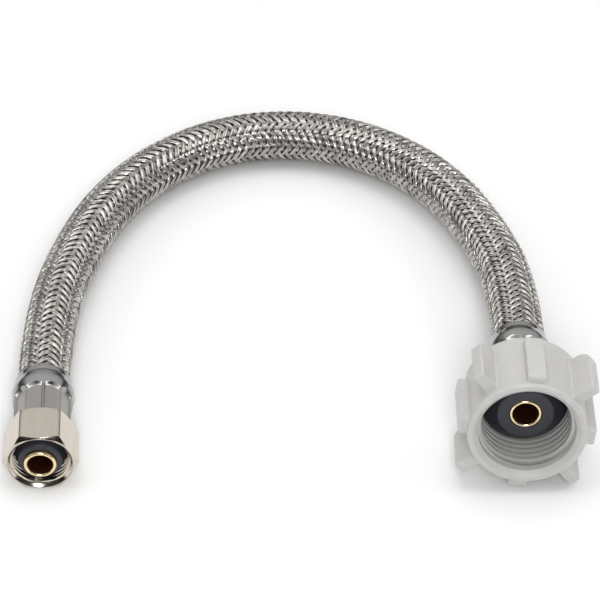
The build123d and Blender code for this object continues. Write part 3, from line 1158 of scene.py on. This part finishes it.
@dataclass
class BallcockNut:
    """A moulded nut with four wings, four ribs and a coarse thread, for a fill valve's shank."""

    axes: Axes
    back: float = 16.3 * MM
    mouth: float = 36.0 * MM
    radius: float = 14.0 * MM
    floor_top: float = 19.1 * MM
    hole: float = 5.1 * MM
    lead_radius: float = 11.4 * MM
    lead_length: float = 3.0 * MM
    ring_radius: float = 12.6 * MM
    ring_depth: float = 1.2 * MM
    root_fillet: float = 0.4 * MM
    taper: float = 0.15 * MM
    floor_round: float = 0.3 * MM
    relief_length: float = 1.2 * MM
    soil_fade: float = 0.6 * MM
    thread: Thread = Thread(10.5 * MM, 12.0 * MM, 1.814 * MM, 0.48, 0.22)
    columns: int = 256
    wing: Grip = Grip(
        "wing", 37.0, front=34.3 * MM, tip=19.6 * MM, width=2.9 * MM, length=14.4 * MM,
        back_corner=4.0 * MM, front_corner=0.8 * MM, edge=0.5 * MM,
    )
    rib: Grip = Grip(
        "rib", 83.0, front=34.9 * MM, tip=16.03 * MM, width=4.6 * MM, length=15.7 * MM,
        back_corner=1.0 * MM, front_corner=0.7 * MM, edge=0.5 * MM,
    )

    def body(self) -> bpy.types.Object:
        """The nut's round body with its thread.

        Returns:
            The piece.
        """
        angle = np.linspace(0.0, TURN, self.columns + 1)
        thread_top = self.mouth - self.lead_length
        thread_low = self.floor_top + self.relief_length
        root = self.thread.root
        outer = arc_outline(
            [
                (self.hole, self.floor_top, 0),
                (self.hole, self.back, 0.3 * MM),
                (self.radius - self.taper, self.back, 0.9 * MM),
                (self.radius, self.mouth, 0.6 * MM),
                (self.ring_radius, self.mouth, 0.3 * MM),
                (self.lead_radius, self.mouth - self.ring_depth, 0.3 * MM),
                (self.lead_radius, thread_top, 0),
            ],
            closed=False,
            step_deg=10.0,
        )
        outer = split_runs(outer, 2.5 * MM, closed=False)
        radius, place = self.thread.rows(thread_low, thread_top, angle, root, self.lead_radius)
        floor = [
            (root, thread_low),
            (root, self.floor_top + self.floor_round),
            (root - self.floor_round, self.floor_top),
        ]
        bands = [plain_rows(outer, len(angle)), (radius[::-1], place[::-1]), plain_rows(floor, len(angle))]
        piece = round_piece("ballcock_nut_body", self.axes, bands, angle, 40.0)
        self.mark_roots(piece)
        return piece

    def mark_roots(self, piece: bpy.types.Object) -> None:
        """Marks the thread's roots for painted shade, a darker colour for the shade in the groove: 0 on
        the crests and 1 at the bottom of the groove.

        Args:
            piece: the nut's body.
        """
        points = np.empty(len(piece.data.vertices) * 3)
        piece.data.vertices.foreach_get("co", points)
        offset = points.reshape(-1, 3) - self.axes.origin
        place = offset @ self.axes.along
        radius = np.linalg.norm(offset - place[:, None] * self.axes.along, axis=1)
        depth = (radius - self.thread.crest) / (self.thread.root - self.thread.crest)
        in_thread = np.clip((self.mouth - self.lead_length - place) / self.soil_fade, 0.0, 1.0)
        in_bore = radius < self.thread.root + 0.1 * MM
        # Painted shade: the colour darkens towards the bottom of each thread groove and fades out near the
        # mouth.
        add_attribute(piece, "soil", np.clip((depth - 0.5) / 0.4, 0.0, 1.0) * in_thread * in_bore)

    def grip(self, grip: Grip) -> bpy.types.Object:
        """One grip, as a stack of rounded rectangles from inside the nut's body out to the tip.

        At each height the rectangle runs from the grip's back to its front and across its width. It
        shrinks by quarter circles at the tip's corners and edges, and grows by one at the root.

        Args:
            grip: the grip's sizes.

        Returns:
            The piece.
        """
        quarter = np.linspace(0, np.pi / 2, 6)
        inside_body = self.radius - 0.8 * MM
        near_root = self.radius - 0.1 * MM + self.root_fillet * (1 - np.cos(quarter))
        middle = np.linspace(near_root[-1], grip.tip - grip.back_corner, 4)[1:-1]
        corner = grip.tip - grip.back_corner * (1 - np.sin(np.linspace(0, np.pi / 2, 9)))
        edge = grip.tip - grip.edge * (1 - np.sin(quarter))
        height = np.concatenate([[inside_body], near_root, middle, corner, edge])
        height = np.unique(np.round(height, 8))

        def cut_in(corner: float) -> np.ndarray:
            """How far a quarter circle at the tip has cut in at each height."""
            above = np.clip(height - (grip.tip - corner), 0.0, corner)
            return corner - np.sqrt(np.maximum(corner**2 - above**2, 0.0))

        under = np.clip(1.0 - (height - near_root[0]) / self.root_fillet, 0.0, 1.0)
        flare = self.root_fillet * (1.0 - np.sqrt(1.0 - under**2))
        half = grip.width / 2 - cut_in(grip.edge) + flare
        low = grip.front - grip.length + cut_in(grip.back_corner) - flare
        high = grip.front - cut_in(grip.front_corner) + 0.3 * flare
        round_off = np.minimum(grip.edge, half * 0.96)

        across, along = [], []
        for number, (side, end) in enumerate([(1, 1), (-1, 1), (-1, -1), (1, -1)]):
            swing = quarter + number * np.pi / 2
            centre_across = (side * (half - round_off))[:, None]
            centre_along = (np.where(end > 0, high - round_off, low + round_off))[:, None]
            across.append(centre_across + round_off[:, None] * np.cos(swing))
            along.append(centre_along + round_off[:, None] * np.sin(swing))
        across = np.concatenate(across, axis=1)
        along = np.concatenate(along, axis=1)
        direction = np.radians(grip.angle_deg)
        out = height[:, None]
        x = out * np.cos(direction) - across * np.sin(direction)
        y = out * np.sin(direction) + across * np.cos(direction)
        points = self.axes.place(x, y, along)
        piece = mesh_object(f"ballcock_nut_{grip.name}", points, tube_faces(*across.shape))
        weld(piece, 50.0)
        return piece

    def grips(self) -> list[Grip]:
        """The wings and the ribs, four of each, a quarter turn apart.

        Returns:
            The grips.
        """
        return [
            replace(kind, name=f"{kind.name}_{number + 1}", angle_deg=kind.angle_deg + 90.0 * number)
            for kind in (self.wing, self.rib)
            for number in range(4)
        ]

    def build(self, plastic: bpy.types.Material) -> None:
        """Makes the body and the grips.

        Args:
            plastic: the material.
        """
        body = self.body()
        finish_piece(body, plastic, "ballcock_nut", "ballcock_nut")
        for grip in self.grips():
            piece = self.grip(grip)
            dress(piece, plastic)
            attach(piece, "ballcock_nut")


@dataclass
class Seal:
    """A rubber seal on a stem's nose: a flange at the back, and a cone that narrows towards the front.

    A place is a distance along the fitting, and each corner of the outline has its own rounding.
    """

    name: str
    axes: Axes
    seat: float
    flange_radius: float
    flange_top: float
    cone_radius: float
    front: float
    cone_fall: float
    back_round: float
    flange_round: float
    cone_round: float
    front_round: float = 0.15 * MM
    hole: float = 3.9 * MM

    def build(self, rubber: bpy.types.Material) -> None:
        """Makes the seal, in place of the node of the same name.

        Args:
            rubber: the material.
        """
        corners = [
            (self.hole, self.seat, 0),
            (self.flange_radius, self.seat, self.back_round),
            (self.flange_radius, self.flange_top, self.flange_round),
            (self.cone_radius, self.front - self.cone_fall, self.cone_round),
            (self.hole, self.front, self.front_round),
        ]
        outline = split_runs(arc_outline(corners, closed=True), 0.7 * MM, closed=True)
        piece = turned_piece(f"{self.name}_moulded", self.axes, outline, 128, 45.0, {})
        finish_piece(piece, rubber, self.name, self.name)


# ---- Studio ----


@dataclass(frozen=True)
class Softbox:
    """A square area light that faces the object: its name, place, size and power."""

    name: str
    place: Point
    size: float
    power: float


@dataclass
class Studio:
    """The pale floor, the soft light and the camera."""

    target: Point = (0.00155, 0.04213, 0.008)
    azimuth_deg: float = 1.2
    distance: float = 0.9
    elevation_deg: float = 41.0
    lens: float = 220.4
    floor_half: float = 6.0
    floor_colour: Point = (0.93, 0.93, 0.93)
    floor_cloud: float = 0.01
    softboxes: tuple[Softbox, ...] = (
        Softbox("key_light", (0.0, 0.15, 1.2), 0.7, 2.8),
        Softbox("left_light", (-1.0, 0.1, 0.7), 0.5, 1.4),
        Softbox("right_light", (1.0, 0.0, 0.8), 0.5, 1.4),
        Softbox("front_light", (0.0, -0.72, 0.98), 0.3, 0.9),
        Softbox("low_light", (0.05, -0.93, 0.76), 0.3, 5.2),
    )

    def build(self) -> None:
        """Makes the floor, the sky, the lights and the camera."""
        self.make_floor()
        self.make_sky()
        for softbox in self.softboxes:
            self.make_light(softbox)
        self.make_camera()
        bpy.context.scene.view_settings.view_transform = "Standard"

    def make_floor(self) -> None:
        """Makes the floor, with the faintest cloud in its colour."""
        edge = self.floor_half
        points = np.array([(-edge, -edge, 0), (edge, -edge, 0), (edge, edge, 0), (-edge, edge, 0)])
        floor = mesh_object("floor", points, [np.array([[0, 1, 2, 3]])])
        paler = tuple(min(1.0, part + self.floor_cloud) for part in self.floor_colour)
        finish = Finish(
            "floor_paper", self.floor_colour, paler, 0.0, 0.85, 0.95, Effect.MOTTLE, 6.0, specular=0.1
        )
        dress(floor, finish.build())

    def make_sky(self) -> None:
        """Makes the surroundings: bright above, dim low down in front and dim near the horizon.

        The brightness rises with the height of the way looked in. It is multiplied by one minus a share
        that grows towards the low front, and by a band that dims the horizon.
        """
        world = bpy.data.worlds.new("studio")
        bpy.context.scene.world = world
        world.use_nodes = True
        graph = Graph(world.node_tree)
        way = graph.add("ShaderNodeSeparateXYZ")
        graph.join(graph.add("ShaderNodeTexCoord").outputs["Generated"], way.inputs[0])
        height = graph.span(way.outputs["Z"], 0.60, 0.95, 0.3, 0.95)
        ahead = graph.math("MULTIPLY", way.outputs["Y"], -1.0)
        in_front = graph.span(ahead, 0.0, 1.0, 0.12, 0.4)
        low = graph.span(way.outputs["Z"], 1.0, 0.0, 0.7, 0.95)
        shade = graph.math("MULTIPLY", graph.math("MULTIPLY", in_front, low), 0.92)
        horizon = graph.span(way.outputs["Z"], 0.15, 1.0, 0.10, 0.35)
        kept = graph.math("MULTIPLY", graph.math("SUBTRACT", 1.0, shade), horizon)
        background = world.node_tree.nodes["Background"]
        background.inputs["Color"].default_value = (1.0, 1.0, 1.0, 1.0)
        graph.join(graph.math("MULTIPLY", height, kept), background.inputs["Strength"])

    def make_light(self, softbox: Softbox) -> None:
        """Makes one area light.

        Args:
            softbox: its name, place, size and power.
        """
        data = bpy.data.lights.new(softbox.name, "AREA")
        data.shape = "SQUARE"
        data.size = softbox.size
        data.energy = softbox.power
        light = bpy.data.objects.new(softbox.name, data)
        light.location = softbox.place
        aim = Vector(self.target) - Vector(softbox.place)
        light.rotation_euler = aim.to_track_quat("-Z", "Y").to_euler()
        bpy.context.scene.collection.objects.link(light)

    def make_camera(self) -> None:
        """Makes the camera, which looks down at the object and nearly along +Y."""
        data = bpy.data.cameras.new("camera")
        data.lens = self.lens
        data.sensor_width = 36.0
        camera = bpy.data.objects.new("camera", data)
        tilt = np.radians(self.elevation_deg)
        turn = np.radians(self.azimuth_deg)
        level = np.cos(tilt)
        back = Vector((-np.sin(turn) * level, -np.cos(turn) * level, np.sin(tilt))) * self.distance
        camera.location = Vector(self.target) + back
        camera.rotation_euler = (-back).to_track_quat("-Z", "Y").to_euler()
        bpy.context.scene.collection.objects.link(camera)
        bpy.context.scene.camera = camera


def main() -> None:
    """Builds the supply line piece by piece in its frame."""
    logging.basicConfig(level=logging.INFO, format="%(name)s: %(message)s")
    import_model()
    comp = Axes.at_end(ROUTE[0], ROUTE[1])
    ball = Axes.at_end(ROUTE[-1], ROUTE[-2])
    steel = FERRULE_STEEL.build()
    brass = BRASS.build()
    rubber = RUBBER.build()

    Studio().build()
    Hose(comp, ball).build(BRAID_WIRE.build(), TUBE_PLASTIC.build())
    Ferrule("compression_ferrule", comp).build(steel)
    Ferrule("ballcock_ferrule", ball).build(steel)
    Stem(
        "compression_stem", comp,
        collar_back=19.9 * MM, collar_radius=6.2 * MM, seat=21.1 * MM, tip=27.9 * MM,
    ).build(brass)
    Stem(
        "ballcock_stem", ball,
        collar_back=20.4 * MM, collar_radius=8.5 * MM, seat=21.4 * MM, tip=28.3 * MM,
    ).build(brass)
    Seal(
        "compression_seal", comp, seat=21.1 * MM, flange_radius=6.3 * MM, flange_top=22.9 * MM,
        cone_radius=5.15 * MM, front=26.9 * MM, cone_fall=0.5 * MM,
        back_round=0.2 * MM, flange_round=0.35 * MM, cone_round=0.5 * MM,
    ).build(rubber)
    Seal(
        "cone_washer", ball, seat=21.4 * MM, flange_radius=10.2 * MM, flange_top=24.1 * MM,
        cone_radius=6.6 * MM, front=28.2 * MM, cone_fall=0.0,
        back_round=0.3 * MM, flange_round=0.5 * MM, cone_round=0.35 * MM,
    ).build(rubber)
    CompressionNut(comp).build(NICKEL.build())
    BallcockNut(ball).build(NUT_PLASTIC.build())


if __name__ == "__main__":
    main()
